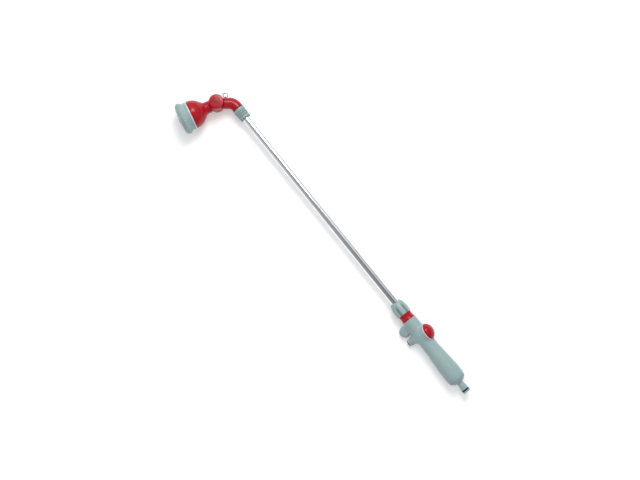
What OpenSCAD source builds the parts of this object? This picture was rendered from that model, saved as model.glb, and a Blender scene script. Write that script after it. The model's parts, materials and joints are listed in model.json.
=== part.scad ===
// Watering wand: hose-fed handle with a push-through valve, a long tube and a tilting spray head.
// Millimetres, +Z up. The wand lies on its side: +X runs from the head to the hose end, the head
// points to -Y, and the rim, the hinge cap and the grip rest on the plane z = 0.

/* [Tube] */
// length of tube that shows between the two nuts
tube_len = 483.8; // [300:0.2:900]
// outside diameter of the tube
tube_d = 16; // [12:0.5:25]
// wall of the tube
tube_wall = 1; // [0.6:0.1:2]
// length of tube hidden inside each nut
tube_grip = 20; // [12:1:30]

/* [Elbow and hinge] */
// angle between the tube and the elbow's outlet
elbow_angle = 50.87; // [0:0.01:90]
// radius of the elbow's outside
elbow_r = 11.7; // [10:0.1:15]
// radius of the bend's centre line
bend_r = 20; // [15:0.5:40]
// from the bend's corner to the hinge axis
barrel_len = 35; // [30:0.5:60]
// radius of the hinge half that the head carries
near_drum_r = 15.4; // [13:0.1:18]
// radius of the hinge half that the elbow carries
far_drum_r = 15; // [13:0.1:18]
// from the hinge's parting plane to the face of the head's half
hinge_half = 17; // [12:0.5:22]
// from the hinge's parting plane to the face of the elbow's half
far_half = 20.6; // [14:0.1:24]

/* [Head] */
// tilt of the head away from the elbow's outlet, as shown
head_tilt = 26.3; // [-53:0.1:60]
// radius of the dial's rim
rim_r = 33.6; // [25:0.5:50]
// scallops round the rim
scallops = 36; // [8:1:60]
// spray patterns on the dial
patterns = 8; // [4:1:12]

/* [Handle] */
// radius of the grip where it is widest
grip_r = 19.5; // [15:0.5:25]
// wall of the handle's shells
shell_wall = 2.6; // [1.5:0.1:4]
// radius of the dome button
dome_r = 16.7; // [10:0.1:20]
// lean of the valve's axis towards the hose end
valve_lean = 5.5; // [0:0.5:20]
// travel of the valve
valve_travel = 4; // [2:0.5:8]
// radius of the finger rest
rest_r = 11.5; // [8:0.1:18]

/* [Hose connection] */
// radius of the nipple's tip
tip_r = 7.8; // [6:0.05:10]
// radius over the nipple's O-ring
seal_r = 8.2; // [6:0.05:10]
// radius of the nipple's bore
bore_r = 4; // [2:0.1:6]

/* [Pose on the surface] */
// roll of the elbow and head, head lifted
head_roll = 7.9; // [0:0.01:20]
// roll of the handle, button lifted
handle_roll = 23; // [0:0.5:45]
// shift that puts the origin at the middle of the base
place_x = -58.155; // [-200:0.01:200]
// shift that puts the origin at the middle of the base
place_y = 43.114; // [-200:0.01:200]

/* [Hidden] */
$fn = 96;
gap = 0.35;
tube_r = tube_d / 2;
bore_tube = tube_r - tube_wall;
xa = tube_len / 2;
tube_end = xa + tube_grip;
nut_x = -xa;
nut_len = 25.2;
elbow_x = nut_x - nut_len - 1.7;
bend_tan = bend_r * tan(elbow_angle / 2);
corner_x = -xa - 40.6;
bend_x = corner_x + bend_tan;
pivot_x = corner_x - barrel_len * cos(elbow_angle);
pivot_y = -barrel_len * sin(elbow_angle);
e_dir = 180 + elbow_angle;
h_dir = e_dir + head_tilt;
clear_r = near_drum_r + 0.6;
drum_gap = 0.4;
lug_s = 17.4;
lug_n = 11.6;
cap_rise = 1.9;
screw_at = [[54, -27, 4.6], [140, -10.6, 11.4]];
wire_r = 0.65;
ring_r = 4.95;
hand_x = xa;
collar_len = 29.7;
socket_x = hand_x + collar_len;
shell_x = socket_x + 14.4;
valve_x = hand_x + 84.5;
dome_t = 16.1;
rest_x = hand_x + 58.4;
rest_y = -24.1;
tail_x = hand_x + 196.8;
end_x = hand_x + 228.6;

// ---------- frames ----------

// the tube's axis, with the elbow's plane rolled up
module in_lance() {
    translate([place_x, place_y, grip_r]) rotate([-head_roll, 0, 0]) children();
}

// the tube's axis, with the handle's plane rolled up
module in_handle() {
    translate([place_x, place_y, grip_r]) rotate([handle_roll, 0, 0]) children();
}

// local +Z along the tube, from station x
module along_x(x) {
    translate([x, 0, 0]) rotate([0, 90, 0]) children();
}

// local +X along the elbow's outlet, from the bend's corner
module at_barrel() {
    in_lance() translate([corner_x, 0, 0]) rotate([0, 0, e_dir]) children();
}

// local +Z along the hinge axis
module at_hinge() {
    in_lance() translate([pivot_x, pivot_y, 0]) children();
}

// local +X along the head's axis, from the hinge
module at_head() {
    at_hinge() rotate([0, 0, h_dir]) children();
}

// local +Z along the valve's axis, towards the dome
module at_valve() {
    in_handle() translate([valve_x, 0, 0]) rotate([0, 0, -valve_lean]) rotate([-90, 0, 0]) children();
}

// ---------- shapes ----------

// a turned body: points are [station, radius]
module turned(points) {
    rotate_extrude() polygon([for (p = points) [p[1], p[0]]]);
}

// a ring of rectangular section
module sleeve(r_out, r_in, z0, z1) {
    translate([0, 0, z0]) difference() {
        cylinder(r = r_out, h = z1 - z0);
        translate([0, 0, -1]) cylinder(r = r_in, h = z1 - z0 + 2);
    }
}

// a plain disc or rod
module rod(r, z0, z1) {
    translate([0, 0, z0]) cylinder(r = r, h = z1 - z0);
}

// a round ring
module torus(big, small) {
    rotate_extrude() translate([big, 0]) circle(r = small, $fn = 48);
}

// copies round the local Z axis
module around(n, start = 0) {
    for (i = [0 : n - 1]) rotate([0, 0, start + i * 360 / n]) children();
}

// ---------- lance ----------

module lance_tube() color("silver") in_lance() along_x(-tube_end) sleeve(tube_r, bore_tube, 0, 2 * tube_end);

module tail_ferrule() color("gold") in_lance() along_x(tube_end) difference() {
    union() {
        rod(bore_tube - 0.05, -14, 0.2);
        rod(tube_r, 0.1, 1.6);
    }
    rod(bore_tube - 1.2, -15, 3);
}

// the elbow: threaded spigot, flange, bend, barrel, far drum and the ring's lug
module elbow() color("firebrick") difference() {
    union() {
        in_lance() along_x(elbow_x) {
            rod(10.2, 0, 18.5);
            rod(elbow_r, bend_x - elbow_x - 0.4, 0);
        }
        in_lance() translate([bend_x, -bend_r, 0]) rotate([0, 0, 90])
            rotate_extrude(angle = elbow_angle) translate([bend_r, 0]) circle(r = elbow_r - 0.06);
        at_barrel() translate([bend_tan, 0, 0]) rotate([0, 90, 0]) rod(elbow_r, -0.4, barrel_len - bend_tan);
        at_hinge() turned([[-far_half, 0], [-far_half, far_drum_r - 1.6], [-far_half + 1.6, far_drum_r],
            [0.5, far_drum_r], [0.5, 0]]);
        lug();
    }
    at_hinge() rod(clear_r, -drum_gap / 2, hinge_half * 2);
    in_lance() along_x(elbow_x) rod(tube_r + 0.02, 2, 19);
    in_lance() along_x(elbow_x) rod(6, bend_x - elbow_x - 0.3, 3);
    in_lance() translate([bend_x, -bend_r, 0]) rotate([0, 0, 90])
        rotate_extrude(angle = elbow_angle) translate([bend_r, 0]) circle(r = 5.9);
    at_barrel() translate([bend_tan, 0, 0]) rotate([0, 90, 0]) rod(6, -0.3, 8);
    at_barrel() translate([bend_tan, 0, -4]) rotate([0, 90, 0]) rod(3.6, 0, barrel_len - bend_tan);
    at_barrel() for (s = [-1, 1]) translate([lug_s + s * 3.9 - 2.7, -20, -8]) cube([5.4, 9.7, 16]);
    at_hinge() turned([[-far_half - 1, 0], [-far_half - 1, 5.2], [2.4 - far_half, 5.2],
        [2.4 - far_half, 2.3], [-13.5, 2.3], [-13.5, 8.4],
        [-3.6, 8.4], [-3.6, 6], [1, 6], [1, 0]]);
    at_hinge() sleeve(11.2, 9.4, -1.95, 1);
    lug_hole();
}

// upright lug with a hole along the barrel for the wire ring
module lug() {
    at_barrel() translate([lug_s, -lug_n, 0]) rotate([0, 90, 0]) rod(2.6, -1.2, 1.2);
    at_barrel() translate([lug_s - 1.2, -lug_n, -2.6]) cube([2.4, 3, 5.2]);
}

module lug_hole() {
    at_barrel() translate([lug_s, -lug_n, 0]) rotate([0, 90, 0]) rod(wire_r + 0.55, -2, 2);
}

module elbow_oring() color("black") in_lance() along_x(elbow_x + 0.1) sleeve(11.2, 10.25, 0, 1.2);

module nose_collet() color("white") in_lance() along_x(nut_x - 6.6) difference() {
    sleeve(9.6, tube_r + 0.03, 0, 4.6);
    translate([0, -1, -1]) cube([20, 2, 8]);
}

module pivot_screw() color("silver") at_hinge() {
    difference() {
        union() {
            rod(5.2, hinge_half - 3.1, hinge_half - 1.7);
            rod(2.2, 0.2 - far_half, hinge_half - 3);
        }
        for (a = [0, 90]) rotate([0, 0, a + 20]) translate([-3, -0.6, hinge_half - 2.3]) cube([6, 1.2, 3]);
    }
}

module pivot_washer() color("silver") at_hinge() sleeve(6.2, 2.3, hinge_half - 3.9, hinge_half - 3.2);

// snap-in plug over the screw, with a star recess
module hinge_plug() color("firebrick") at_hinge() difference() {
    turned([[hinge_half - 1.3, 0], [hinge_half - 1.3, 6.7], [hinge_half + 0.2, 6.7], [hinge_half + 0.6, 6.2],
        [hinge_half + 0.9, 0]]);
    for (i = [0 : 5]) rotate([0, 0, i * 60 + 20]) translate([0, -0.65, hinge_half - 0.4]) cube([5, 1.3, 3]);
    rod(1.9, hinge_half - 0.4, hinge_half + 3);
}

module pivot_nut() color("silver") at_hinge() difference() {
    translate([0, 0, 0.1 - far_half]) cylinder(r = 4.6, h = 2.1, $fn = 6);
    rod(2.25, -far_half - 1, 0);
}

module hinge_cap() color("dimgray") at_hinge() turned([[-far_half - cap_rise, 0],
    [-far_half - cap_rise, 6.6], [-far_half - cap_rise + 1.2, 8.4], [-far_half - 0.03, 8.8],
    [-far_half - 0.03, 0]]);

module hinge_oring() color("black") at_hinge() translate([0, 0, -1.05]) torus(10.3, 0.8);

module head_nut() color("gray") in_lance() along_x(nut_x) mirror([0, 0, 1]) difference() {
    turned([[0, 0], [0, 10], [0.8, 10.7], [5, 11.2], [nut_len - 2, 12.3], [nut_len - 0.6, 12.3],
        [nut_len, 11.7], [nut_len, 0]]);
    rod(tube_r + gap, -1, nut_len + 1);
    rod(10.2 + gap, 6.2, nut_len + 1);
    rod(9.6 + gap, 1.8, 6.3);
    around(12) translate([11.9, 0, -1]) cylinder(r = 1.5, h = 3.2);
    for (k = [0 : 2]) around(20, k * 9) translate([13.05 + k * 0.35, 0, 8.4 + k * 4.8])
        sphere(r = 1.4, $fn = 24);
}

module hang_ring() color("silver") at_barrel()
    translate([lug_s, -lug_n - ring_r, 0]) torus(ring_r, wire_r);

// ---------- head ----------

// bell, neck and the collar that the dial turns on
module head_outer() {
    turned([[0, 0], [0, 12.1], [22.5, 12.1], [25.6, 12.7], [28.7, 14.5], [31.8, 17.8], [34.8, 21],
        [37.9, 23.5], [41, 25.5], [44.1, 27], [47.1, 28.1], [50.2, 28.9], [53.3, 29.3], [57.4, 29.4],
        [57.4, 27], [62.6, 27], [62.6, 0]]);
}

module head_inner() {
    turned([[25, 0], [25, 6], [29, 11.5], [33, 17], [36.9, 20.8], [41.5, 24], [46.3, 25.8],
        [51, 26], [56, 24.4], [63.5, 24.4], [63.5, 0]]);
}

module head_shell() color("firebrick") difference() {
    union() {
        at_head() rotate([0, 90, 0]) head_outer();
        at_hinge() turned([[0, 0], [0, near_drum_r], [hinge_half - 1.4, near_drum_r],
            [hinge_half, near_drum_r - 1.4], [hinge_half, 0]]);
    }
    at_hinge() rod(clear_r, -hinge_half * 2, drum_gap / 2);
    at_head() rotate([0, 90, 0]) head_inner();
    at_head() rotate([0, 90, 0]) rod(5, 20, 26);
    at_head() translate([0, 0, 4.7]) rotate([0, 90, 0]) rod(3.5, 0, 22);
    at_hinge() turned([[-1, 0], [-1, 6], [3, 6], [3, 9], [hinge_half - 5.6, 9], [hinge_half - 5.6, 2.55],
        [hinge_half - 4, 2.55], [hinge_half - 4, 6.8], [hinge_half + 1, 6.8], [hinge_half + 1, 0]]);
}

module port_plate() color("white") at_head() rotate([0, 90, 0]) difference() {
    rod(24.3, 59.5, 62);
    rod(4.03, 59, 63);
    rotate([0, 0, 90]) translate([15, 0, 58]) cylinder(r = 4, h = 6);
    rotate([0, 0, 200]) translate([15, 0, 60.6]) cylinder(r = 2.3, h = 3);
}

module head_spindle() color("white") at_head() rotate([0, 90, 0]) {
    difference() {
        union() {
            rod(4, 31, 77.6);
            for (a = [0, 90]) rotate([0, 0, a]) translate([-13, -1, 33]) cube([26, 2, 6]);
        }
        rod(1.6, 66, 78);
    }
}

module spindle_screw() color("silver") at_head() rotate([0, 90, 0]) difference() {
    union() {
        rod(1.55, 67, 78.1);
        rod(5.2, 77.7, 78.6);
        rod(3, 78.5, 80.3);
    }
    for (a = [0, 90]) rotate([0, 0, a]) translate([-2, -0.4, 79.3]) cube([4, 0.8, 3]);
}

// the click stop's spring sits in the port plate's blind hole
module detent_spring() color("silver") at_head() rotate([0, 90, 0])
    rotate([0, 0, 200]) translate([15, 0, 60.7]) sleeve(2, 1.4, 0, 1.2);

module detent_ball() color("silver") at_head() rotate([0, 90, 0])
    rotate([0, 0, 200]) translate([15, 0, 62.9]) intersection() {
        sphere(r = 1.9);
        translate([-3, -3, -0.9]) cube([6, 6, 3]);
    }

// ---------- dial ----------

module dial_ring() color("gray") at_head() rotate([0, 90, 0]) difference() {
    turned([[60, 0], [60, 29.4], [66, 29], [68.7, 30.4], [71, 32.2], [73.5, rim_r - 0.2], [75, rim_r],
        [76, rim_r], [78, 32.2], [80.5, 30], [82, 28.7], [82, 0]]);
    rod(27.4, 50, 66.6);
    rod(25.2, 50, 74);
    rod(28.4, 73, 90);
    around(scallops) translate([rim_r + 1.9, 0, 69.4]) cylinder(r = 2.5, h = 12);
}

// bright trim at the dial's open end
module dial_trim() color("lightgray") at_head() rotate([0, 90, 0]) difference() {
    turned([[57.8, 0], [57.8, 28.8], [58.4, 29.5], [59.95, 29.5], [59.95, 0]]);
    rod(27.4, 50, 62);
}

module dial_seal() color("black") at_head() rotate([0, 90, 0]) sleeve(24.6, 20.5, 64.8, 66);

module selector_disc() color("white") at_head() rotate([0, 90, 0]) difference() {
    union() {
        rod(25.1, 66.1, 68.6);
        sleeve(9, 4.06, 66.1, 72);
    }
    rod(4.06, 60, 80);
    around(patterns, 90) translate([15, 0, 60]) cylinder(r = 3, h = 20);
}

// face plate: ring of drilled fields and a centre rose
module spray_plate() color("gray") at_head() rotate([0, 90, 0]) difference() {
    union() {
        rod(28.3, 74.1, 76);
        turned([[75.9, 0], [75.9, 28.3], [81.4, 28.3], [82.4, 26.6], [83.6, 18], [84.2, 8], [84.2, 0]]);
    }
    rod(4.06, 70, 76);
    rod(6.2, 75.9, 90);
    rod(27, 74, 79.2);
    around(patterns) {
        for (a = [-12, 0, 12]) rotate([0, 0, a]) translate([23.2, 0, 70])
            cylinder(r = 0.9, h = 20, $fn = 24);
        for (a = [-8, 8]) rotate([0, 0, a]) translate([18.6, 0, 70]) cylinder(r = 0.9, h = 20, $fn = 24);
        translate([13.6, 0, 70]) cylinder(r = 1.5, h = 20, $fn = 24);
    }
}

module centre_cap() color("firebrick") at_head() rotate([0, 90, 0])
    turned([[80.8, 0], [80.8, 6.1], [84, 6.1], [84.6, 5.2], [84.9, 0]]);

// ---------- clamp nut ----------

module clamp_nut() color("gray") in_handle() along_x(hand_x) difference() {
    turned([[0, 0], [0, 10.6], [0.8, 11.3], [3, 12.4], [6, 13.7], [9, 14.5], [12, 15], [18, 15.7],
        [collar_len - 0.8, 15.8], [collar_len, 15], [collar_len, 0]]);
    rod(tube_r + gap, -1, 6);
    turned([[-1, 0], [-1, 10.4], [3.8, 8], [3.8, 0]]);
    rod(12 + gap, 5.6, collar_len + 1);
    around(6, 15) translate([21.4, 0, 8]) cylinder(r = 6.6, h = 40);
    around(6) translate([12.6, 0, -1]) cylinder(r = 2.6, h = 4);
}

// ---------- handle ----------

module outlet_socket() color("firebrick") in_handle() along_x(hand_x) difference() {
    turned([[7, 0], [7, 11.4], [8, 12], [collar_len + 0.3, 12], [collar_len + 0.3, 13.7],
        [collar_len + 2.5, 13.5], [collar_len + 6.5, 13.2], [collar_len + 10.5, 13.5],
        [collar_len + 14.3, 14.8], [collar_len + 14.3, 9], [collar_len + 30, 9], [collar_len + 30, 0]]);
    rod(tube_r + gap, 0, tube_grip + 2.4);
    rod(10.1, 0, 15);
    rod(6, 0, collar_len + 31);
    translate([0, 0, 16]) cylinder(r = 10, h = 2.4);
}

module clamp_collet() color("white") in_handle() along_x(hand_x) difference() {
    sleeve(10.05, tube_r + gap, 6.4, 14.6);
    translate([0, -1, 0]) cube([20, 2, 30]);
}

module tube_seal() color("black") in_handle() along_x(hand_x) sleeve(9.98, tube_r + 0.33, 16.1, 18.3);

// outside of the handle, without the boss and finger rest
module handle_outer() {
    in_handle() along_x(hand_x) turned([[44.1, 0], [44.1, 14.6], [45, 15], [66, 15], [90, 15.1],
        [110.7, 15.5], [123, 16], [135, 16.8], [147.6, 17.8], [160, 18.6], [170, 19.3], [175, grip_r],
        [179, grip_r], [184, 19.3], [190.7, 19], [196.7, 18], [196.7, 0]]);
}

module handle_inner() {
    in_handle() along_x(hand_x) turned([[40, 0], [40, 9.05], [47, 9.05], [47, 12.2], [90, 12.4],
        [110.7, 12.9], [123, 13.4], [135, 14.2], [147.6, 15.2], [160, 16], [175, 16.7], [184, 16.7],
        [190, 16.4], [200, 16.4], [200, 0]]);
}

// raised boss under the dome and the narrow boss of the nub
module valve_bosses() {
    at_valve() turned([[-28.4, 0], [-28.4, 7.2], [-27, 7.5], [-24, 7.6], [-19, 8.8], [-15, 10.6],
        [-11, 12.5], [0, 14.4], [6, 16.2], [11, 18.1], [15.6, 18.4], [15.6, 0]]);
}

// smooth disc that the finger rests on, with the web that carries it
module finger_rest() {
    in_handle() {
        translate([rest_x, rest_y, 0]) rotate_extrude() union() {
            translate([0, -7]) square([rest_r - 6, 14]);
            translate([0, -1]) square([rest_r, 2]);
            translate([rest_r - 6, 1]) circle(r = 6);
            translate([rest_r - 6, -1]) circle(r = 6);
        }
        translate([rest_x - 7, rest_y, -6.5]) cube([18, 20, 13]);
    }
}

module shells() {
    difference() {
        union() {
            handle_outer();
            valve_bosses();
            finger_rest();
        }
        handle_inner();
        at_valve() rod(18.9, 15.6, 40);
        at_valve() rod(dome_r + gap, dome_t - valve_travel - 0.3, 20);
        at_valve() rod(9.2, -13.8, 14);
        at_valve() rod(7.5, -20.2, 0);
        at_valve() rod(6.2, -30, 0);
        at_valve() rod(6.9, -40, -25.6);
        for (q = screw_at) in_handle() translate([hand_x + q[0], q[1], 0]) {
            rod(1.6, -12, q[2] - 0.9);
            rod(3, -40, -q[2]);
        }
    }
}

module half(side) {
    in_handle() translate([hand_x, -60, side > 0 ? 0.01 : -60.01]) cube([240, 120, 60]);
}

module handle_shell_left() color("darkgray") intersection() {
    shells();
    half(1);
}

module handle_shell_right() color("darkgray") intersection() {
    shells();
    half(-1);
}

module shell_screw() color("silver") for (q = screw_at) in_handle() translate([hand_x + q[0], q[1], 0]) {
    rod(1.5, -q[2] - 0.3, q[2] - 1.4);
    rod(2.8, -q[2] - 1.6, -q[2] - 0.1);
}

module tail_cap() color("gray") in_handle() along_x(hand_x) difference() {
    turned([[186, 0], [186, 16.3], [196.8, 16.3], [196.8, 18], [198, 17.5], [203.4, 11], [204.4, 8.6],
        [204.4, 0]]);
    rod(6.5, 180, 210);
    rod(10.1, 180, 200.2);
    rod(13, 180, 194);
}

module hose_nipple() color("dimgray") in_handle() along_x(hand_x) difference() {
    turned([[188, 0], [188, 10], [200, 10], [200, 6.4], [212, 6.4], [212.8, 7.2], [213.4, 7.6],
        [221, 7.6], [221.4, 7.6], [221.4, 5.3], [225, 5.3], [225, tip_r], [228, tip_r],
        [228.6, 7.2], [228.6, 0]]);
    rod(bore_r, 180, 230);
    rod(7, 180, 193);
    for (z = [215, 217.4, 219.8]) translate([0, 0, z]) sleeve(9, 7.2, 0, 0.9);
}

module nipple_oring() color("black") in_handle() along_x(hand_x + 223.2)
    torus(seal_r - 1.45, 1.45);

module inlet_screen() color("silver") in_handle() along_x(hand_x) difference() {
    rod(6.9, 191.6, 192.8);
    for (i = [-2 : 2]) for (j = [-2 : 2]) translate([i * 2, j * 2, 190])
        cylinder(r = 0.6, h = 5, $fn = 16);
}

module inlet_pipe() color("white") in_handle() along_x(hand_x) sleeve(6.9, 4.6, 104.2, 191.4);

module valve_body() color("white") difference() {
    union() {
        at_valve() rod(9, -13.6, 9);
        at_valve() rod(7.3, -20, -13);
        in_handle() along_x(hand_x) {
            rod(8.6, 60, 84);
            rod(8.6, 84, 112);
        }
    }
    at_valve() rod(5.6, -30, 12);
    in_handle() along_x(hand_x) {
        rod(5, 50, 84);
        rod(5, 84, 105);
        rod(7, 104, 113);
    }
}

module button_bezel() color("lightgray") at_valve() difference() {
    turned([[15.64, 0], [15.64, 18.4], [16.2, 18.4], [16.7, 17.7], [16.7, 0]]);
    rod(dome_r + gap, 14, 19);
}

module nub_ring() color("lightgray") at_valve() difference() {
    rod(7.5, -29.6, -28.43);
    rod(6.9, -31, -27);
}

module button_cap() color("firebrick") at_valve() difference() {
    turned([[14, 0], [14, 8], [dome_t, 8], [dome_t, dome_r], [17.9, dome_r], [19.8, 16.1], [22, 14.5],
        [24, 12.3], [25.6, 9.6], [26.8, 6.2], [27.4, 2.5], [27.5, 0]]);
    turned([[dome_t - 1, 8.6], [dome_t - 1, 14.6], [19, 14.6], [21, 12.6], [23, 8.6]]);
    rod(5.3, 13, 20);
}

module valve_spool() color("gold") at_valve() turned([[-26.4, 0], [-26.4, 5.2], [-14.4, 5.2], [-14.4, 4],
    [-12.2, 4], [-12.2, 5.2], [-6, 5.2], [-4, 2.6], [3, 2.6], [4.4, 5.2], [5, 5.2], [5, 4], [7.2, 4],
    [7.2, 5.2], [19.9, 5.2], [19.9, 0]]);

module spool_oring() color("black") at_valve() for (z = [-13.3, 6.1])
    translate([0, 0, z]) sleeve(5.3, 4.05, -0.9, 0.9);

module spool_tip() color("maroon") at_valve() difference() {
    turned([[-33.6, 0], [-33.6, 4], [-33, 5.6], [-32, 6.4], [-25.7, 6.4], [-25.7, 0]]);
    rod(5.25, -26.5, -20);
}

handle_shell_left();
handle_shell_right();
tail_cap();
hose_nipple();
nipple_oring();
inlet_screen();
inlet_pipe();
valve_body();
button_bezel();
nub_ring();
outlet_socket();
clamp_collet();
tube_seal();
shell_screw();
button_cap();
valve_spool();
spool_oring();
spool_tip();
clamp_nut();
lance_tube();
tail_ferrule();
elbow();
elbow_oring();
nose_collet();
pivot_screw();
pivot_washer();
pivot_nut();
hinge_plug();
hinge_cap();
hinge_oring();
head_nut();
hang_ring();
head_shell();
port_plate();
head_spindle();
detent_spring();
detent_ball();
spindle_screw();
dial_ring();
dial_trim();
dial_seal();
spray_plate();
selector_disc();
centre_cap();
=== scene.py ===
import bpy
import json
import math
import bmesh
import numpy as np
from mathutils import Matrix, Vector


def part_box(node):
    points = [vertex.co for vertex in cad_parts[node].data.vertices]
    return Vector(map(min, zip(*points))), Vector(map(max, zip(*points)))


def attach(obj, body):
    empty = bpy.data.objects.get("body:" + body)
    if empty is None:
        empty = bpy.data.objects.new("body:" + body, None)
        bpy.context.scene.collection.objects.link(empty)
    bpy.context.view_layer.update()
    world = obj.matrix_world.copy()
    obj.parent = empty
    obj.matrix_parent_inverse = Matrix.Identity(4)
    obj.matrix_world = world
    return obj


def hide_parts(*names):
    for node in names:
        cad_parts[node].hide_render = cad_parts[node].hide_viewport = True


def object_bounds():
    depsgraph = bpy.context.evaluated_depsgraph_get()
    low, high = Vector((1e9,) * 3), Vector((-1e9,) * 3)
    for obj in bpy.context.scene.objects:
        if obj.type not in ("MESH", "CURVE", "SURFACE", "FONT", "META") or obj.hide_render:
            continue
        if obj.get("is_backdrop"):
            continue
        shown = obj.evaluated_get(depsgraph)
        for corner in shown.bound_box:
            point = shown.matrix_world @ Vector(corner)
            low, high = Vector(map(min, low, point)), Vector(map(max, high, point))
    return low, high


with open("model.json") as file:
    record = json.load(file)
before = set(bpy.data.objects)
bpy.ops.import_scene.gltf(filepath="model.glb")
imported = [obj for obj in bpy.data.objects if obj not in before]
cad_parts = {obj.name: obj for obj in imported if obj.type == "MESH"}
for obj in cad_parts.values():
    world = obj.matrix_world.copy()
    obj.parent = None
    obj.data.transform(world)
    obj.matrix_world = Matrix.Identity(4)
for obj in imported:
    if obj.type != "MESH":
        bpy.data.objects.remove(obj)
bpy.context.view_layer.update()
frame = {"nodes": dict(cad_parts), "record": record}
nodes = frame["nodes"]
scene = bpy.context.scene

# ---------------------------------------------------------------- dimensions (mm)
TUBE_HALF = 241.9
ELBOW_ANGLE = 50.87
BEND_R = 20.0
BARREL = 35.0
TILT = 26.3
HEAD_ROLL = 7.9
HANDLE_ROLL = 23.0
LEAN = 5.5
DRUM_HALF = 17.0
FAR_HALF = 20.6
CORNER_X = -TUBE_HALF - 40.6
BEND_TAN = BEND_R * math.tan(math.radians(ELBOW_ANGLE / 2))
BEND_X = CORNER_X + BEND_TAN
ELBOW_X = -TUBE_HALF - 26.9
E_DIR = 180 + ELBOW_ANGLE
H_DIR = E_DIR + TILT
PIVOT = (CORNER_X - BARREL * math.cos(math.radians(ELBOW_ANGLE)),
         -BARREL * math.sin(math.radians(ELBOW_ANGLE)), 0)
LUG_S, LUG_N, WIRE_R, RING_R = 17.4, 11.6, 0.65, 4.95
ELBOW_R, NEAR_R, FAR_R, CLEAR_R = 11.7, 15.4, 15.0, 16.0
VALVE_AT, REST_AT, REST_Y = 84.5, 58.4, -24.1
SCALLOPS, RIM_START = 36, 67
FLUTES, TEETH, NOTCHES = 6, 18, 12
WIRE_PROUD = 0.15

# ---------------------------------------------------------------- frames
lo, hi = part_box("lance_tube")
ORIGIN = [(lo[i] + hi[i]) * 500 for i in range(3)]


def T(x, y=0, z=0):
    return Matrix.Translation((x, y, z))


def R(deg, axis):
    return Matrix.Rotation(math.radians(deg), 4, axis)


MM = Matrix.Scale(0.001, 4)
WAND = MM @ T(*ORIGIN)
LANCE = WAND @ R(-HEAD_ROLL, "X")
HANDLE = WAND @ R(HANDLE_ROLL, "X")
ALONG = R(90, "Y")
BARREL_M = LANCE @ T(CORNER_X) @ R(E_DIR, "Z")
HINGE = LANCE @ T(*PIVOT)
HEAD = HINGE @ R(H_DIR, "Z") @ ALONG
VALVE = HANDLE @ T(TUBE_HALF + VALVE_AT) @ R(-LEAN, "Z") @ R(-90, "X")


def along_x(base, x):
    return base @ T(x) @ ALONG


# ---------------------------------------------------------------- camera
# turned about the view axis, lowered and swung round the wand; aimed beside the origin (mm)
THETA, DELTA, ORBIT, DIST = math.radians(51.097), math.radians(2.5), math.radians(5.0), 2500.0
AIM_X, AIM_Y, LENS = 47.8, 38.4, 69.2


def make_camera():
    yv = Vector((0, math.cos(DELTA), -math.sin(DELTA)))
    back0 = Vector((0, math.sin(DELTA), math.cos(DELTA)))
    xv = math.cos(ORBIT) * Vector((1, 0, 0)) - math.sin(ORBIT) * back0
    right = math.cos(THETA) * xv + math.sin(THETA) * yv
    up = -math.sin(THETA) * xv + math.cos(THETA) * yv
    back = right.cross(up)
    target = Vector(ORIGIN) + AIM_X * xv - AIM_Y * yv
    rot = Matrix((right, up, back)).transposed().to_4x4()
    cam = bpy.data.objects.new("camera", bpy.data.cameras.new("camera"))
    cam.matrix_world = Matrix.Translation((target + DIST * back) / 1000) @ rot
    cam.data.sensor_width = 36
    cam.data.lens = LENS
    cam.data.clip_end = 20
    scene.collection.objects.link(cam)
    scene.camera = cam


make_camera()


# ---------------------------------------------------------------- materials
class Nodes:
    """A small helper for building node trees."""

    def __init__(self, name):
        self.mat = bpy.data.materials.new(name)
        self.mat.use_nodes = True
        self.tree = self.mat.node_tree
        self.bsdf = next(n for n in self.tree.nodes if n.type == "BSDF_PRINCIPLED")
        self.pos = self.add("ShaderNodeTexCoord").outputs["Object"]

    def add(self, kind, **values):
        n = self.tree.nodes.new(kind)
        for k, v in values.items():
            setattr(n, k, v)
        return n

    def link(self, a, b):
        self.tree.links.new(a, b)

    def scaled(self, x, y, z):
        m = self.add("ShaderNodeMapping")
        m.inputs["Scale"].default_value = (x, y, z)
        self.link(self.pos, m.inputs["Vector"])
        return m.outputs["Vector"]

    def noise(self, scale, detail=4, rough=0.55, vector=None):
        n = self.add("ShaderNodeTexNoise")
        n.inputs["Scale"].default_value = scale
        n.inputs["Detail"].default_value = detail
        n.inputs["Roughness"].default_value = rough
        self.link(vector or self.pos, n.inputs["Vector"])
        return n.outputs["Fac"]

    def ramp(self, fac, stops):
        r = self.add("ShaderNodeValToRGB")
        e = r.color_ramp.elements
        while len(e) < len(stops):
            e.new(0.5)
        for item, (p, c) in zip(e, stops):
            item.position = p
            item.color = (c, c, c, 1) if isinstance(c, (int, float)) else (*c, 1)
        self.link(fac, r.inputs["Fac"])
        return r.outputs["Color"]

    def mix(self, fac, a, b):
        m = self.add("ShaderNodeMix", data_type="RGBA")
        for s, v in (("Factor", fac), ("A", a), ("B", b)):
            sock = next(i for i in m.inputs if i.name == s and i.enabled)
            if hasattr(v, "is_linked"):
                self.link(v, sock)
            elif isinstance(v, (int, float)):
                sock.default_value = v
            else:
                sock.default_value = (*v, 1)
        return next(o for o in m.outputs if o.enabled)

    def bump(self, height, strength, distance, chain=None):
        b = self.add("ShaderNodeBump")
        b.inputs["Strength"].default_value = strength
        b.inputs["Distance"].default_value = distance
        self.link(height, b.inputs["Height"])
        if chain:
            self.link(chain, b.inputs["Normal"])
        return b.outputs["Normal"]

    def set(self, **values):
        for k, v in values.items():
            self.bsdf.inputs[k.replace("_", " ")].default_value = v


def shade(c, k):
    """The colour c made k times as bright."""
    return tuple(min(1, v * k) for v in c)


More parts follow.
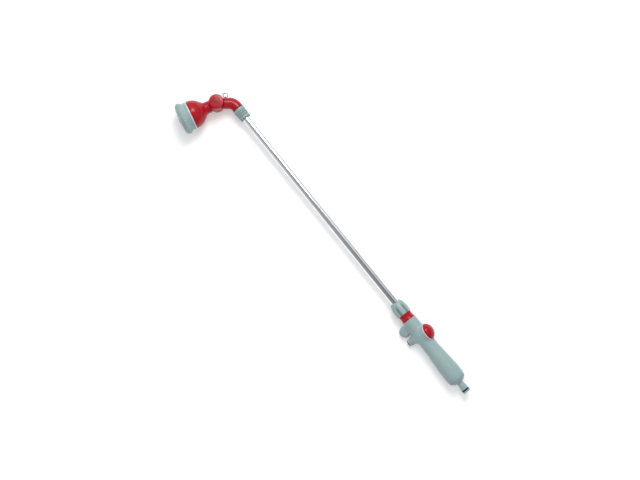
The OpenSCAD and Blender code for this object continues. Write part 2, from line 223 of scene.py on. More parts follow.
def painted_recess_shade(n, base, colour, matrix, length, stops, start, full):
    """Paints shade on what lies below a turned piece's nominal radius: a darker colour in its recesses,
    standing in for the shade that falls there.

    Without stops, it paints the same shade on what lies below the height length along the matrix's Z axis."""
    inv = np.array(matrix.inverted())

    def row(i):
        d = n.add("ShaderNodeVectorMath", operation="DOT_PRODUCT")
        n.link(n.pos, d.inputs[0])
        d.inputs[1].default_value = tuple(inv[i, :3])
        m = n.add("ShaderNodeMath", operation="ADD")
        n.link(d.outputs["Value"], m.inputs[0])
        m.inputs[1].default_value = float(inv[i, 3])
        return m.outputs[0]

    def math2(kind, a, b):
        m = n.add("ShaderNodeMath", operation=kind)
        for sock, v in zip(m.inputs, (a, b)):
            if hasattr(v, "is_linked"):
                n.link(v, sock)
            else:
                sock.default_value = v
        return m.outputs[0]

    if not stops:
        depth = math2("SUBTRACT", length, row(2))
        return n.mix(n.ramp(math2("DIVIDE", depth, 3.0), [(start / 3, 0), (full / 3, 1)]), base, colour)
    x, y, z = row(0), row(1), row(2)
    r = math2("POWER", math2("ADD", math2("MULTIPLY", x, x), math2("MULTIPLY", y, y)), 0.5)
    nominal = n.ramp(math2("DIVIDE", z, length), [(a / length, b / 20) for a, b in stops])
    depth = math2("SUBTRACT", math2("MULTIPLY", nominal, 20.0), r)
    return n.mix(n.ramp(math2("DIVIDE", depth, 3.0), [(start / 3, 0), (full / 3, 1)]), base, colour)


def plastic(name, colour, rough, grain=0.05, coat=0.0, spec=0.5, scuff=0.35, tone=0.06, low=None):
    """Moulded plastic: fine moulded grain, slow tone drift, faint rubbed streaks; with low, painted shade in
    its recesses.
    """
    n = Nodes(name)
    drift = n.noise(28, 3)
    base = n.ramp(drift, [(0.3, shade(colour, 1 - tone)), (0.7, shade(colour, 1 + tone))])
    specks = n.noise(900, 2, 0.6)
    base = n.mix(n.ramp(specks, [(0.62, 0), (0.72, 0.25)]), base, shade(colour, 0.8))
    streak = n.noise(60, 5, 0.7, n.scaled(0.6, 9, 9))
    base = n.mix(n.ramp(streak, [(0.58, 0), (0.78, scuff)]), base, shade(colour, 1.12))
    # low paints shade: a darker colour below the nominal surface, standing in for the shade in recesses
    if low:
        base = painted_recess_shade(n, base, *low)
    n.link(base, n.bsdf.inputs["Base Color"])
    rub = n.ramp(streak, [(0.4, rough), (0.75, min(1, rough + 0.12))])
    n.link(rub, n.bsdf.inputs["Roughness"])
    fine = n.bump(n.noise(2600, 3, 0.6), grain, 0.0002)
    wave = n.bump(n.noise(70, 2), 0.06, 0.0008, fine)
    n.link(wave, n.bsdf.inputs["Normal"])
    n.set(Specular_IOR_Level=spec, Coat_Weight=coat, Coat_Roughness=0.08)
    return n.mat


def metal(name, colour, rough, lines=(1, 1, 1), line_scale=900, depth=0.06, tone=0.05):
    """Drawn or turned metal: fine lines along one direction, with faint stains."""
    n = Nodes(name)
    line = n.noise(line_scale, 3, 0.6, n.scaled(*lines))
    stain = n.noise(24, 4, 0.6)
    base = n.ramp(stain, [(0.25, shade(colour, 1 - tone)), (0.75, shade(colour, 1 + tone))])
    base = n.mix(n.ramp(line, [(0.45, 0), (0.8, 0.2)]), base, shade(colour, 0.82))
    n.link(base, n.bsdf.inputs["Base Color"])
    n.link(n.ramp(stain, [(0.3, rough * 0.8), (0.75, rough * 1.3)]), n.bsdf.inputs["Roughness"])
    n.link(n.bump(line, depth, 0.0002), n.bsdf.inputs["Normal"])
    n.set(Metallic=1.0)
    return n.mat


def rubber(name, colour=(0.012, 0.012, 0.013)):
    n = Nodes(name)
    dust = n.noise(420, 5, 0.7)
    base = n.mix(n.ramp(dust, [(0.5, 0), (0.8, 0.5)]), colour, (0.09, 0.09, 0.09))
    n.link(base, n.bsdf.inputs["Base Color"])
    n.link(n.ramp(dust, [(0.3, 0.45), (0.8, 0.75)]), n.bsdf.inputs["Roughness"])
    n.link(n.bump(n.noise(3000, 2), 0.12, 0.0002), n.bsdf.inputs["Normal"])
    return n.mat


GREY = (0.28, 0.385, 0.395)
RED = (0.38, 0.005, 0.014)
MATS = {
    "grey_plastic": plastic("grey_moulded", GREY, 0.33),
    "grey_dial": plastic("grey_dial_moulded", shade(GREY, 0.98), 0.36, grain=0.08),
    # head nut knurl: painted shade, a darker grey in the dents and mouth notches below the nominal radius
    "grey_knurled": plastic("grey_knurl_painted_shade", GREY, 0.36, low=(
        shade(GREY, 0.38), LANCE @ T(-TUBE_HALF) @ R(-90, "Y"), 26,
        [(0, 10.8), (1.2, 11.0), (5, 11.3), (22.6, 12.2), (25, 12.3)], 0.25, 0.85)),
    # clamp collar flutes: painted shade, a darker grey in the flutes and mouth notches below the nominal
    # radius
    "grey_fluted": plastic("grey_flute_painted_shade", GREY, 0.34, low=(
        shade(GREY, 0.5), along_x(HANDLE, TUBE_HALF), 30,
        [(0, 10.9), (0.9, 11.5), (3, 12.4), (6, 13.7), (9, 14.5), (12, 15.05), (18, 15.7), (29, 15.8)],
        0.35, 1.7)),
    "pale_plastic": plastic("pale_moulded", (0.62, 0.68, 0.67), 0.4),
    "red_plastic": plastic("red_gloss", RED, 0.18, grain=0.02, spec=0.28, scuff=0.15,
                           tone=0.05),
    # hinge plug: painted shade, a darker red in the star recess below the plug face
    "red_starred": plastic("red_star_painted_shade", RED, 0.2, grain=0.02, spec=0.28, scuff=0.15, low=(
        shade(RED, 0.3), HINGE, DRUM_HALF + 0.2, None, 0.02, 0.5)),
    "dark_red_plastic": plastic("dark_red_gloss", (0.10, 0.004, 0.008), 0.25, grain=0.03, coat=0.2,
                                scuff=0.2),
    "dark_plastic": plastic("dark_moulded", (0.03, 0.032, 0.034), 0.42),
    "inner_plastic": plastic("natural_moulded", (0.66, 0.65, 0.6), 0.45),
    "tube_aluminium": metal("bright_anodised", (0.85, 0.895, 0.93), 0.1, (0.5, 26, 26), 260, 0.03),
    "chrome_wire": metal("chrome", (0.13, 0.13, 0.14), 0.14, depth=0.02),
    "steel": metal("zinc_plated", (0.62, 0.62, 0.63), 0.28),
    "brass": metal("turned_brass", (0.72, 0.55, 0.27), 0.3),
    "rubber": rubber("moulded_rubber"),
}
SLOTS = {s["node"]: s["material_slot"] for s in frame["record"]["subparts"]}


def paint(obj, mat):
    obj.data.materials.clear()
    obj.data.materials.append(mat)


for node_name, obj in nodes.items():
    paint(obj, MATS[SLOTS[node_name]])
# the hinge plug takes the red with painted shade in its star recess
paint(nodes["hinge_plug"], MATS["red_starred"])


# ---------------------------------------------------------------- mesh helpers
def smooth(mesh, angle=32):
    mesh.shade_smooth()
    mesh.set_sharp_from_angle(angle=math.radians(angle))


def make(name, verts, faces, matrix, body, slot, replaces=(), mat=None, angle=32):
    """A piece from points in mm in a local frame, put in place, on its body."""
    mesh = bpy.data.meshes.new(name)
    m = np.array(matrix)
    v = np.asarray(verts, float) @ m[:3, :3].T + m[:3, 3]
    mesh.from_pydata(v.tolist(), [], faces)
    bm = bmesh.new()
    bm.from_mesh(mesh)
    bmesh.ops.remove_doubles(bm, verts=bm.verts, dist=1e-7)
    bmesh.ops.dissolve_degenerate(bm, edges=bm.edges, dist=1e-7)
    bmesh.ops.recalc_face_normals(bm, faces=bm.faces)
    bm.to_mesh(mesh)
    bm.free()
    smooth(mesh, angle)
    obj = bpy.data.objects.new(name, mesh)
    scene.collection.objects.link(obj)
    paint(obj, mat or MATS[slot])
    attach(obj, body)
    if replaces:
        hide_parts(*replaces)
    return obj


def rounded(points, steps=5):
    """A profile of (station, radius[, fillet]) with its corners rounded by arcs."""
    out = []
    for i, p in enumerate(points):
        f = p[2] if len(p) > 2 else 0
        here = np.array(p[:2], float)
        if not f or i in (0, len(points) - 1):
            out.append(here)
            continue
        a = np.array(points[i - 1][:2], float) - here
        b = np.array(points[i + 1][:2], float) - here
        la, lb = np.linalg.norm(a), np.linalg.norm(b)
        a, b = a / la, b / lb
        half = math.acos(max(-1, min(1, float(a @ b)))) / 2
        if half > math.pi / 2 - 0.02:
            out.append(here)
            continue
        cut = min(f / math.tan(half), la * 0.49, lb * 0.49)
        r = cut * math.tan(half)
        mid = a + b
        c = here + mid / np.linalg.norm(mid) * (r / math.sin(half))
        p0, p1 = here + a * cut, here + b * cut
        t0 = math.atan2(*(p0 - c)[::-1])
        t1 = math.atan2(*(p1 - c)[::-1])
        d = (t1 - t0 + math.pi) % (2 * math.pi) - math.pi
        out += [c + r * np.array((math.cos(t0 + d * k / steps), math.sin(t0 + d * k / steps)))
                for k in range(steps + 1)]
    return out


def dense(points, step):
    """The profile with long stretches cut into steps."""
    out = [points[0]]
    for a, b in zip(points, points[1:]):
        n = max(1, int(math.ceil(np.linalg.norm(np.subtract(b, a)) / step)))
        out += [np.asarray(a) + (np.asarray(b) - np.asarray(a)) * (k / n) for k in range(1, n + 1)]
    return out


def lathe(name, profile, matrix, body, slot, replaces=(), n=128, step=None, shape=None, mat=None,
          closed=False, angle=32, steps=5):
    """A turned piece. shape(z, a, r) may push the radius in or out. closed joins last to first."""
    pts = rounded(profile + ([profile[0]] if closed else []), steps)
    if step:
        pts = dense(pts, step)
    if closed:
        pts = pts[:-1]
    ang = np.arange(n) * 2 * math.pi / n
    verts, rows = [], []
    for s, r in pts:
        if r < 1e-6:
            rows.append([len(verts)] * n)
            verts.append((0, 0, s))
            continue
        rr = np.full(n, r) if shape is None else shape(s, ang, r)
        rows.append(list(range(len(verts), len(verts) + n)))
        verts += [(rr[i] * math.cos(ang[i]), rr[i] * math.sin(ang[i]), s) for i in range(n)]
    faces = []
    pairs = list(zip(rows, rows[1:])) + ([(rows[-1], rows[0])] if closed else [])
    for a, b in pairs:
        for i in range(n):
            j = (i + 1) % n
            f = [a[i], a[j], b[j], b[i]]
            f = [v for k, v in enumerate(f) if v not in f[:k]]
            if len(f) > 2:
                faces.append(f)
    return make(name, verts, faces, matrix, body, slot, replaces, mat, angle)


def wire_loop(name, path, radius, matrix, body, slot, replaces=(), n=12):
    """A round wire along a closed path of points."""
    pts = [Vector(p) for p in path]
    count = len(pts)
    verts, faces = [], []
    side = Vector((0, 0, 1))
    for i, p in enumerate(pts):
        t = (pts[(i + 1) % count] - pts[i - 1]).normalized()
        side = (side - t * side.dot(t)).normalized()
        up = t.cross(side)
        for k in range(n):
            w = 2 * math.pi * k / n
            verts.append(p + radius * (math.cos(w) * side + math.sin(w) * up))
    for i in range(count):
        for k in range(n):
            a, b = i * n, ((i + 1) % count) * n
            faces.append([a + k, a + (k + 1) % n, b + (k + 1) % n, b + k])
    return make(name, [tuple(v) for v in verts], faces, matrix, body, slot, replaces, angle=50)


# ---------------------------------------------------------------- rounded solids from distances
def smin(a, b, k):
    """The lesser of a and b, with a blend of width k where they meet."""
    h = np.maximum(k - np.abs(a - b), 0) / k
    return np.minimum(a, b) - h * h * k / 4


def smax(a, b, k):
    return -smin(-a, -b, k)


def curve_r(stations, radii, blur=1.2):
    """A smooth radius as a function of station."""
    x = np.arange(min(stations) - 20, max(stations) + 20, 0.1)
    y = np.interp(x, stations, radii)
    k = np.exp(-0.5 * (np.arange(-60, 61) * 0.1 / blur) ** 2)
    y = np.convolve(np.pad(y, 60, mode="edge"), k / k.sum(), mode="valid")
    g = np.gradient(y, x)
    return lambda s: (np.interp(s, x, y), np.interp(s, x, g))


def turned_d(s, r, radius, s0, s1, k=0.8):
    """Distance to a turned solid between two stations."""
    rr, g = radius(s)
    d = (r - rr) / np.sqrt(1 + g * g)
    return smax(d, np.maximum(s0 - s, s - s1), k)


def cyl_d(r, z, radius, z0, z1, k=0.8):
    """Distance to a straight cylinder between two stations."""
    return smax(r - radius, np.maximum(z0 - z, z - z1), k)


def net(f, low, high, h):
    """The zero surface of f, as vertices and quads."""
    ax = [np.arange(low[i], high[i] + h, h) for i in range(3)]
    g = np.stack(np.meshgrid(*ax, indexing="ij"), -1).reshape(-1, 3)
    shape = tuple(len(a) for a in ax)
    v = np.concatenate([f(part) for part in np.array_split(g, 24)]).reshape(shape)
    ins = v < 0
    nx, ny, nz = (d - 1 for d in shape)
    acc = np.zeros((nx, ny, nz, 3))
    cnt = np.zeros((nx, ny, nz))
    corner = [(i, j, k) for i in (0, 1) for j in (0, 1) for k in (0, 1)]

    def cut(a, c):
        return a[c[0]:c[0] + nx, c[1]:c[1] + ny, c[2]:c[2] + nz]

    for c in corner:
        for axis in range(3):
            if c[axis]:
                continue
            d = tuple(1 if i == axis else c[i] for i in range(3))
            va, vb = cut(v, c), cut(v, d)
            m = cut(ins, c) != cut(ins, d)
            t = np.where(m, va / np.where(m, va - vb, 1), 0)
            for i in range(3):
                acc[..., i] += np.where(m, c[i] + (t if i == axis else 0), 0)
            cnt += m
    live = cnt > 0
    index = -np.ones((nx, ny, nz), int)
    index[live] = np.arange(live.sum())
    cell = np.argwhere(live)
    verts = (acc[live] / cnt[live][:, None] + cell) * h + np.array(low)
    faces = []
    for axis in range(3):
        u, w = [(1, 2), (2, 0), (0, 1)][axis]
        a = [slice(1, -1)] * 3
        b = [slice(1, -1)] * 3
        a[axis], b[axis] = slice(0, -1), slice(1, None)
        ia, ib = ins[tuple(a)], ins[tuple(b)]
        at = np.argwhere(ia != ib)
        flip = ia[tuple(at.T)]
        at = at + np.array([0 if i == axis else 1 for i in range(3)])
        quad = []
        for du, dw in ((-1, -1), (0, -1), (0, 0), (-1, 0)):
            q = at.copy()
            q[:, u] += du
            q[:, w] += dw
            quad.append(index[tuple(q.T)])
        quad = np.stack(quad, 1)
        quad[~flip] = quad[~flip][:, ::-1]
        faces.append(quad)
    for _ in range(3):
        d = f(verts)
        e = 0.02
        grad = np.stack([f(verts + np.eye(3)[i] * e) - f(verts - np.eye(3)[i] * e) for i in range(3)],
                        -1) / (2 * e)
        g2 = np.maximum((grad ** 2).sum(-1), 0.3)
        move = -(d / g2)[:, None] * grad
        size = np.linalg.norm(move, axis=1, keepdims=True)
        verts = verts + move * np.minimum(1, 0.5 * h / np.maximum(size, 1e-9))
    return verts, np.concatenate(faces).tolist()


VOX = 0.6  # sampling step, mm


def solid(name, f, low, high, matrix, body, slot, replaces=()):
    """A piece from its distance function f, sampled between the corners low and high."""
    v, faces = net(f, low, high, VOX)
    return make(name, v, faces, matrix, body, slot, replaces, angle=50)


# ---------------------------------------------------------------- tube
lathe("tube", [(-262, 7), (-262, 8), (262, 8), (262, 7)], along_x(LANCE, 0), "lance", "tube_aluminium",
      ["lance_tube"], n=96, step=20, closed=True)

# ---------------------------------------------------------------- handle
HX = TUBE_HALF
body_r = curve_r([HX + s for s in (44, 66, 90, 110.7, 123, 135, 147.6, 160, 170, 176, 184, 190.7,
                                   193.5, 197)],
                 [15, 15, 15.1, 15.5, 16, 16.8, 17.8, 18.6, 19.25, 19.5, 19.35, 19.0, 18.7, 18.0])
hollow_r = curve_r([HX + s for s in (40, 46, 48, 90, 110.7, 123, 135, 147.6, 160, 175, 184, 200)],
                   [9, 9, 12.2, 12.4, 12.9, 13.4, 14.2, 15.2, 16, 16.7, 16.7, 16.4], 0.5)
boss_r = curve_r([-28.4, -27, -24, -19, -15, -11, 0, 6, 11, 15.6],
                 [7.4, 7.55, 7.7, 8.6, 10.4, 12.4, 14.4, 16.2, 18.0, 18.4], 0.8)
VC, VS = math.cos(math.radians(LEAN)), math.sin(math.radians(LEAN))


def valve_coords(p):
    """The station along the leaning valve axis, and the radius from it."""
    x, y = p[:, 0] - (HX + VALVE_AT), p[:, 1]
    t = x * VS + y * VC
    q = x * VC - y * VS
    return t, np.hypot(q, p[:, 2])


# each screw's place along the grip and across it, and the depth of its head
SCREWS = [(54, -27, 4.6), (140, -10.6, 11.4)]


def handle_d(p):
    """The grip with its valve boss, finger rest and grooves, less its bores and screw holes."""
    x, y, z = p[:, 0], p[:, 1], p[:, 2]
    d = turned_d(x, np.hypot(y, z), body_r, HX + 44.1, HX + 196.6, 1.2)
    t, r = valve_coords(p)
    d = smin(d, turned_d(t, r, boss_r, -28.4, 15.6, 1.0), 5)
    rx, ry = x - (HX + REST_AT), y - REST_Y
    q = np.stack([np.hypot(rx, ry) - 5.3, np.abs(z) - 0.8], -1)
    puck = np.minimum(q.max(-1), 0) + np.hypot(np.maximum(q[:, 0], 0), np.maximum(q[:, 1], 0)) - 6.2
    web = np.maximum(np.maximum(np.abs(rx - 1) - 6, np.abs(z) - 5), np.maximum(-(y + 26), y))
    d = smin(d, smin(puck, web, 4), 7)
    for k in range(3):
        w = (x - y * 0.25 - (HX + 71.5 + 2.2 * k))
        d = np.maximum(d, -np.maximum(np.maximum(np.abs(w) - 0.28, np.abs(y + 14.0 - k) - 3.2), -d - 0.4))
    d = smax(d, -cyl_d(r, t, 19.0, 15.6, 60, 0.2), 0.5)
    hol = turned_d(x, np.hypot(y, z), hollow_r, HX + 30, HX + 210, 0.3)
    d = np.maximum(d, -hol)
    d = np.maximum(d, -cyl_d(r, t, 16.9, 11.8, 40, 0.2))
    d = np.maximum(d, -cyl_d(r, t, 9.2, -13.8, 14, 0.2))
    d = np.maximum(d, -cyl_d(r, t, 6.05, -60, 0, 0.2))
    for sx, sy, sz in SCREWS:
        rs = np.hypot(x - HX - sx, y - sy)
        d = np.maximum(d, -cyl_d(rs, z, 3.0, -60, -sz, 0.2))
        d = np.maximum(d, -cyl_d(rs, z, 1.6, -12, sz - 0.9, 0.2))
    return d


for side, label in ((1, "left"), (-1, "right")):
    zlim = (-0.9, 22) if side > 0 else (-22, 0.9)
    solid("handle_" + label, lambda p, s=side: smax(handle_d(p), 0.04 - s * p[:, 2], 0.45),
          (HX + 40, -42, zlim[0]), (HX + 200, 24, zlim[1]), HANDLE, "handle", "grey_plastic",
          ["handle_shell_" + label])

lathe("tail_end_ring", [(186.3, 13.2), (186.3, 16.2, 0.2), (196.9, 16.2), (196.9, 17.7, 0.4),
                        (198.4, 17.3, 0.8), (203.3, 11.2, 0.8), (204.3, 8.6, 0.4), (204.3, 6.5, 0.2),
                        (194, 6.5), (194, 13.2)],
      along_x(HANDLE, HX), "handle", "grey_plastic", ["tail_cap"], closed=True)
lathe("nipple", [(193, 4.1), (193, 10, 0.3), (200, 10), (200, 6.4), (206, 6.35, 0.5),
                 (211.6, 6.5, 0.6), (213, 7.5, 0.5), (214.6, 7.6, 0.15), (214.9, 7.15, 0.1),
                 (215.7, 7.15, 0.1), (216, 7.6, 0.15), (217, 7.6, 0.15),
                 (217.3, 7.15, 0.1), (218.1, 7.15, 0.1), (218.4, 7.6, 0.15), (219.4, 7.6, 0.15),
                 (219.7, 7.15, 0.1), (220.3, 7.15, 0.1), (220.5, 7.6, 0.15), (221.4, 7.6, 0.2),
                 (221.4, 5.3), (225, 5.3), (225, 7.8, 0.2), (227.7, 7.8, 0.5), (228.6, 7.0, 0.4),
                 (228.6, 4.4, 0.3), (227.9, 4.1)],
      along_x(HANDLE, HX), "handle", "grey_plastic", ["hose_nipple"], n=96, closed=True, steps=3)


def ring_profile(s, r_mid, a, b, n=20):
    """An oval section for a seal, a wide along the axis and b deep, both as half sizes."""
    return [(s + a * math.cos(2 * math.pi * k / n),
             r_mid + b * math.sin(2 * math.pi * k / n)) for k in range(n)]


lathe("nipple_seal", ring_profile(223.2, 6.75, 1.6, 1.45), along_x(HANDLE, HX), "handle", "rubber",
      ["nipple_oring"], n=96, closed=True, angle=60)
lathe("bezel", [(15.62, 17.05), (15.62, 18.35, 0.1), (16.2, 18.4, 0.3), (16.7, 17.8, 0.3),
                (16.7, 17.05, 0.1)],
      VALVE, "handle", "pale_plastic", ["button_bezel"], closed=True)
lathe("nub_end_ring", [(-28.44, 6.2), (-28.44, 7.5, 0.1), (-29.6, 7.5, 0.4), (-29.6, 6.2, 0.1)],
      VALVE, "handle", "pale_plastic", ["nub_ring"], closed=True)
lathe("red_spool_ring", [(7, 10.1), (7, 11.4, 0.3), (8, 12), (30, 12), (30, 13.8, 0.5),
                         (32.2, 13.55, 2), (36.4, 13.15, 4), (40.4, 13.6, 3), (43.9, 14.5, 0.5),
                         (43.9, 9.0), (59, 9), (59, 6), (22.4, 6), (22.4, 10.1)],
      along_x(HANDLE, HX), "handle", "red_plastic", ["outlet_socket"], closed=True)

# ---------------------------------------------------------------- button and spool
lathe("dome", [(20, 0), (20, 5.3), (14, 5.3), (14, 8, 0.2), (16.1, 8), (16.1, 16.7, 0.3), (17.9, 16.7, 1.2),
               (20.0, 16.1, 3), (22.4, 14.2, 4), (24.7, 11.2, 5), (26.4, 7.4, 6), (27.3, 3.0, 6), (27.5, 0)],
      VALVE, "valve_button", "red_plastic", ["button_cap"], step=0.8, angle=50)
lathe("spool_end", [(-25.7, 5.3), (-25.7, 5.85, 0.2), (-29.75, 5.85), (-29.75, 6.9, 0.2),
                    (-31.9, 6.7, 0.9), (-33.1, 5.5, 1.2), (-33.5, 3.2, 0.5), (-33.1, 0)],
      VALVE, "valve_button", "dark_red_plastic", ["spool_tip"], n=96, angle=60)


# ---------------------------------------------------------------- clamp nut
def flutes(s, a, r):
    """Six long flutes up the collar, and a notch between each two at its mouth."""
    if r < 10:
        return np.full(len(a), r)
    d = np.abs((a * FLUTES / (2 * math.pi) + 0.5) % 1 - 0.5) * 2
    w = np.clip((s - 5) / 9, 0, 1) * np.clip((30.2 - s) / 1.0, 0, 1)
    dip = np.exp(-(d / 0.36) ** 6) * 1.7 * w
    e = np.abs((a * FLUTES / (2 * math.pi)) % 1 - 0.5) * 2
    mouth = np.exp(-(e / 0.5) ** 4) * 1.5 * np.clip((3.4 - s) / 2.8, 0, 1)
    return r - (dip if r > 12.6 or s < 20 else 0) - mouth


# its material paints shade into the flutes and mouth notches
lathe("clamp_collar", [(3.4, 8.4), (0, 9.9), (0, 10.9, 0.4), (0.9, 11.6, 0.8), (3, 12.6, 2), (6, 13.8, 4),
                       (9, 14.6, 5), (12, 15.1, 6), (18, 15.75, 8), (24, 15.8), (28.9, 15.8, 0.5),
                       (29.6, 15.1, 0.4), (29.6, 12.4, 0.2), (5.6, 12.35), (5.6, 8.4)],
      along_x(HANDLE, HX), "clamp_nut", "grey_plastic", ["clamp_nut"], n=216, step=0.8, shape=flutes,
      closed=True, mat=MATS["grey_fluted"])


# ---------------------------------------------------------------- head nut
def knurl(s, a, r):
    """Three staggered rows of oval dents, and notches at the mouth."""
    if r < 10.6:
        return np.full(len(a), r)
    out = np.full(len(a), float(r))
    for k, row in enumerate((8.0, 12.9, 17.8)):
        d = np.abs((a * TEETH / (2 * math.pi) + 0.5 * (k % 2) + 0.5) % 1 - 0.5) * 2
        out -= 1.15 * np.exp(-((d / 0.62) ** 2 + ((s - row) / 2.0) ** 2) ** 2.5)
    d = np.abs((a * NOTCHES / (2 * math.pi) + 0.5) % 1 - 0.5) * 2
    out -= 1.3 * np.exp(-(d / 0.42) ** 4) * np.clip((3.4 - s) / 1.2, 0, 1)
    return out


# its material paints shade into the knurl dents and mouth notches
lathe("nose_nut", [(0, 8.4), (0, 10.7, 0.3), (0.9, 11.0, 0.6), (5, 11.3, 4), (22.6, 12.2, 1),
                   (24.6, 12.3, 0.4), (25.2, 11.7, 0.4), (25.2, 10.6, 0.2), (6.2, 10.55), (6.2, 8.4)],
      LANCE @ T(-TUBE_HALF) @ R(-90, "Y"), "head_nut", "grey_plastic", ["head_nut"], n=288, step=0.5,
      shape=knurl, closed=True, mat=MATS["grey_knurled"])
lathe("elbow_seal", ring_profile(-0.75, 10.7, 0.55, 0.5, 12), LANCE @ T(ELBOW_X) @ R(-90, "Y"),
      "lance", "rubber", ["elbow_oring"], n=96, closed=True, angle=60)

# ---------------------------------------------------------------- elbow
EC, ES = math.cos(math.radians(E_DIR)), math.sin(math.radians(E_DIR))


def elbow_d(p):
    """The bent pipe with its far hinge drum, the lug for the ring, and the ribs."""
    x, y, z = p[:, 0], p[:, 1], p[:, 2]
    r_x = np.hypot(y, z)
    spigot = cyl_d(r_x, x, 10.2, ELBOW_X - 3, ELBOW_X + 18.5, 0.3)
    flange = np.maximum(r_x - ELBOW_R, np.maximum(BEND_X - x - 0.3, x - ELBOW_X))
    bx, by = x - BEND_X, y + BEND_R
    ang = np.degrees(np.arctan2(by, bx)) % 360
    arc = np.hypot(np.hypot(bx, by) - BEND_R, z) - ELBOW_R
    arc = np.maximum(arc, np.where((ang >= 89) & (ang <= 91 + ELBOW_ANGLE), -50, 5))
    cx, cy = x - CORNER_X, y
    s, n = cx * EC + cy * ES, -cx * ES + cy * EC
    barrel = np.maximum(np.hypot(n, z) - ELBOW_R, np.maximum(BEND_TAN - 0.4 - s, s - BARREL))
    path = np.minimum(np.minimum(flange, arc), barrel)
    px, py = x - PIVOT[0], y - PIVOT[1]
    rp = np.hypot(px, py)
    drum = cyl_d(rp, z, FAR_R, -FAR_HALF, 3, 1.8)
    d = smin(path, drum, 2.5)
    flat = np.maximum(np.maximum(np.abs(s - LUG_S) - 6.4, n + 10.3), np.abs(z) - 8)
    d = smax(d, -flat, 0.8)
    lug = smax(np.hypot(n + LUG_N, z) - 2.6, np.abs(s - LUG_S) - 1.2, 0.5)
    foot = np.maximum(np.maximum(np.abs(s - LUG_S) - 1.6, np.abs(z) - 2.9), np.abs(n + LUG_N - 2) - 2)
    d = smin(d, smin(lug, foot, 1.0), 1.2)
    for k in (-9.6, -7.9, 8.0):
        rib = np.hypot(s - LUG_S - k, np.maximum(np.hypot(n, z) - 11.75, 0)) - 0.35
        d = smin(d, np.maximum(rib, np.maximum(np.abs(z) - 6, n)), 0.5)
    d = np.minimum(d, spigot)
    d = np.maximum(d, -smax(rp - CLEAR_R, -0.2 - z, 0.3))
    d = np.maximum(d, -cyl_d(rp, z, 8.4, -13.5, 5, 0.2))
    d = np.maximum(d, -cyl_d(rp, z, 5.2, -40, 2.4 - FAR_HALF, 0.2))
    d = np.maximum(d, 2.3 - rp)
    hole = np.maximum(np.hypot(n + LUG_N, z) - 1.2, np.abs(s - LUG_S) - 2)
    return np.maximum(d, -hole)


solid("elbow_body", elbow_d, (PIVOT[0] - 18, PIVOT[1] - 18, -23), (ELBOW_X + 21, 19, 15), LANCE, "lance",
      "red_plastic", ["elbow"])

# ---------------------------------------------------------------- hang ring
path = [(LUG_S + RING_R * math.cos(2 * math.pi * k / 64),
         -LUG_N - RING_R + RING_R * math.sin(2 * math.pi * k / 64), 0)
        for k in range(64)]
wire_loop("wire_ring", path, WIRE_R + WIRE_PROUD, BARREL_M, "hang_ring", "chrome_wire",
          ["hang_ring"], n=16)

# ---------------------------------------------------------------- head
bell_r = curve_r([-5, 22.5, 25.6, 28.7, 31.8, 34.8, 37.9, 41, 44.1, 47.1, 50.2, 53.3, 58],
                 [12.1, 12.1, 12.7, 14.5, 17.8, 21, 23.5, 25.5, 27, 28.1, 28.9, 29.3, 29.4], 0.9)
bell_in = curve_r([20, 25, 29, 33, 36.9, 41.5, 46.3, 51, 56, 70],
                  [5, 6, 10.4, 15.6, 19.4, 22.8, 24.8, 25.2, 24.4, 24.4], 0.8)
HC, HS = math.cos(math.radians(H_DIR)), math.sin(math.radians(H_DIR))


def head_d(p):
    """The bell and its near hinge drum, hollow, with the bores for the hinge screw."""
    x, y, z = p[:, 0] - PIVOT[0], p[:, 1] - PIVOT[1], p[:, 2]
    s, n = x * HC + y * HS, -x * HS + y * HC
    r = np.hypot(n, z)
    bell = turned_d(s, r, bell_r, 0, 57.4, 0.5)
    rp = np.hypot(x, y)
    face = DRUM_HALF + 0.7 * (1 - (rp / NEAR_R) ** 2)
    drum = smax(rp - NEAR_R, np.maximum(-3 - z, z - face), 2.4)
    d = smin(bell, drum, 3)
    d = np.minimum(d, cyl_d(r, s, 27, 50, 62.6, 0.3))
    d = np.maximum(d, -turned_d(s, r, bell_in, 22, 80, 0.3))
    d = np.maximum(d, -cyl_d(rp, z, CLEAR_R, -60, 0.2, 0.3))
    d = np.maximum(d, -cyl_d(rp, z, 6.8, DRUM_HALF - 4, 40, 0.5))
    d = np.maximum(d, -cyl_d(rp, z, 9, 3, DRUM_HALF - 5.6, 0.2))
    d = np.maximum(d, -(rp - 2.55))
    return d


solid("head_body", head_d, (PIVOT[0] - 45, PIVOT[1] - 70, -31), (PIVOT[0] + 22, PIVOT[1] + 19, 31),
      LANCE, "head", "red_plastic", ["head_shell"])


# ---------------------------------------------------------------- dial
def scallop(s, a, r):
    """Round lobes with narrow grooves between them, only on the widest part of the rim."""
    if r < 29.2 or s < RIM_START:
        return np.full(len(a), r)
    d = (a * SCALLOPS / (2 * math.pi)) % 1
    lobe = np.sin(math.pi * d)
    w = np.clip((r - 29.6) / 3.0, 0, 1)
    return r - 0.8 * w * (1 - lobe) ** 1.2


lathe("dial_rim", [(60.05, 27.4), (60.05, 29.4, 0.1), (66.2, 29.0, 1.2), (68.7, 30.4, 1.5),
                   (71, 32.2, 2), (73.5, 33.4, 2), (76, 33.5, 2), (78, 32.2, 2), (80.5, 30, 1.2),
                   (82, 28.9, 0.5), (82, 28.4, 0.2), (74, 28.4), (74, 25.2), (66.6, 25.2), (66.6, 27.4)],
      HEAD, "dial", "grey_plastic", ["dial_ring"], n=288, step=0.8, shape=scallop, closed=True,
      mat=MATS["grey_dial"])
# a chamfered ring between bell and dial; its pale colour is a painted highlight for the light line along the
# bell's edge
lathe("dial_trim_highlight_ring", [(57.8, 27.4), (57.8, 28.9, 0.2), (58.4, 29.5, 0.4), (59.95, 29.5, 0.2),
                         (59.95, 27.4)],
      HEAD, "dial", "pale_plastic", ["dial_trim"], n=144, closed=True)

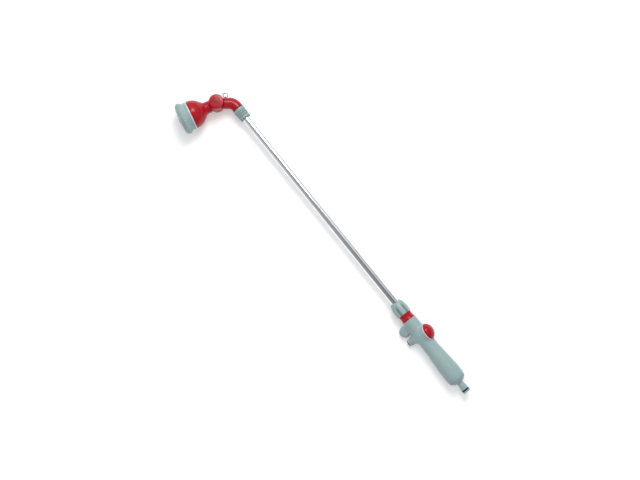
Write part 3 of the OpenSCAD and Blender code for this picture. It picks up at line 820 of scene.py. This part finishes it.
# ---------------------------------------------------------------- floor and light
def floor():
    bm = bmesh.new()
    bmesh.ops.create_grid(bm, x_segments=8, y_segments=8, size=6)
    mesh = bpy.data.meshes.new("floor")
    bm.to_mesh(mesh)
    bm.free()
    o = bpy.data.objects.new("floor", mesh)
    scene.collection.objects.link(o)
    o.location = (0, 0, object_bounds()[0][2] - 0.0001)
    n = Nodes("pale_floor")
    n.link(n.ramp(n.noise(3, 2), [(0.3, 0.85), (0.7, 0.87)]), n.bsdf.inputs["Base Color"])
    n.set(Roughness=0.8, Specular_IOR_Level=0.1, Emission_Color=(1, 1, 1, 1), Emission_Strength=0.22)
    paint(o, n.mat)
    o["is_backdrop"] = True


def area(name, loc, size, power):
    """A white area light at loc that faces the middle of the wand."""
    d = bpy.data.lights.new(name, "AREA")
    d.shape = "RECTANGLE"
    d.size, d.size_y = size
    d.energy = power
    o = bpy.data.objects.new(name, d)
    o.location = loc
    o.rotation_euler = (Vector((0, 0, 0)) - Vector(loc)).to_track_quat("-Z", "Y").to_euler()
    scene.collection.objects.link(o)
    return o


floor()

# brightness of the room against the angle round the wand, and its overall level
WORLD_LEVEL = 1.0
WORLD_STOPS = [(-180, 0.5), (-120, 0.55), (-95, 0.6), (-70, 0.52), (-45, 0.45), (-22, 0.38),
               (0, 0.33), (12, 0.38), (22, 0.62), (38, 1.05), (55, 1.05), (68, 0.7), (82, 0.36),
               (110, 0.36), (140, 0.5), (180, 0.5)]


def studio_world():
    """A soft room: pale walls, a dimmer strip overhead and a darker side, bright boxes between."""
    world = bpy.data.worlds.new("studio")
    scene.world = world
    world.use_nodes = True
    tree = world.node_tree
    bg = tree.nodes["Background"]

    def op(kind, a, b=None, c=None):
        m = tree.nodes.new("ShaderNodeMath")
        m.operation = kind
        for i, v in enumerate((a, b, c)):
            if hasattr(v, "is_linked"):
                tree.links.new(v, m.inputs[i])
            elif v is not None:
                m.inputs[i].default_value = v
        return m.outputs[0]

    tc = tree.nodes.new("ShaderNodeTexCoord")
    sep = tree.nodes.new("ShaderNodeSeparateXYZ")
    tree.links.new(tc.outputs["Generated"], sep.inputs[0])
    dx, dy, dz = sep.outputs
    side = op("ARCTAN2", dy, dz)
    turn = op("MULTIPLY_ADD", side, 0.5 / math.pi, 0.5)
    r = tree.nodes.new("ShaderNodeValToRGB")
    e = r.color_ramp.elements
    while len(e) < len(WORLD_STOPS):
        e.new(0.5)
    for item, (deg, v) in zip(e, WORLD_STOPS):
        item.position = deg / 360 + 0.5
        item.color = (v, v, v, 1)
    tree.links.new(turn, r.inputs["Fac"])
    along = tree.nodes.new("ShaderNodeMapRange")
    tree.links.new(dx, along.inputs["Value"])
    for k, v in (("From Min", -0.16), ("From Max", 0.01), ("To Min", 1.1), ("To Max", 0.5)):
        along.inputs[k].default_value = v
    mul = op("MULTIPLY", along.outputs[0], WORLD_LEVEL)
    tree.links.new(r.outputs["Color"], bg.inputs["Color"])
    tree.links.new(mul, bg.inputs["Strength"])


studio_world()
area("key", (-0.9, 1.1, 1.9), (0.9, 0.9), 26)
area("fill", (1.2, -1.3, 1.5), (1.6, 1.6), 5)
area("top", (0, 0.2, 2.4), (2.6, 2.6), 22).visible_glossy = False
scene.view_settings.view_transform = "Standard"
scene.view_settings.look = "None"
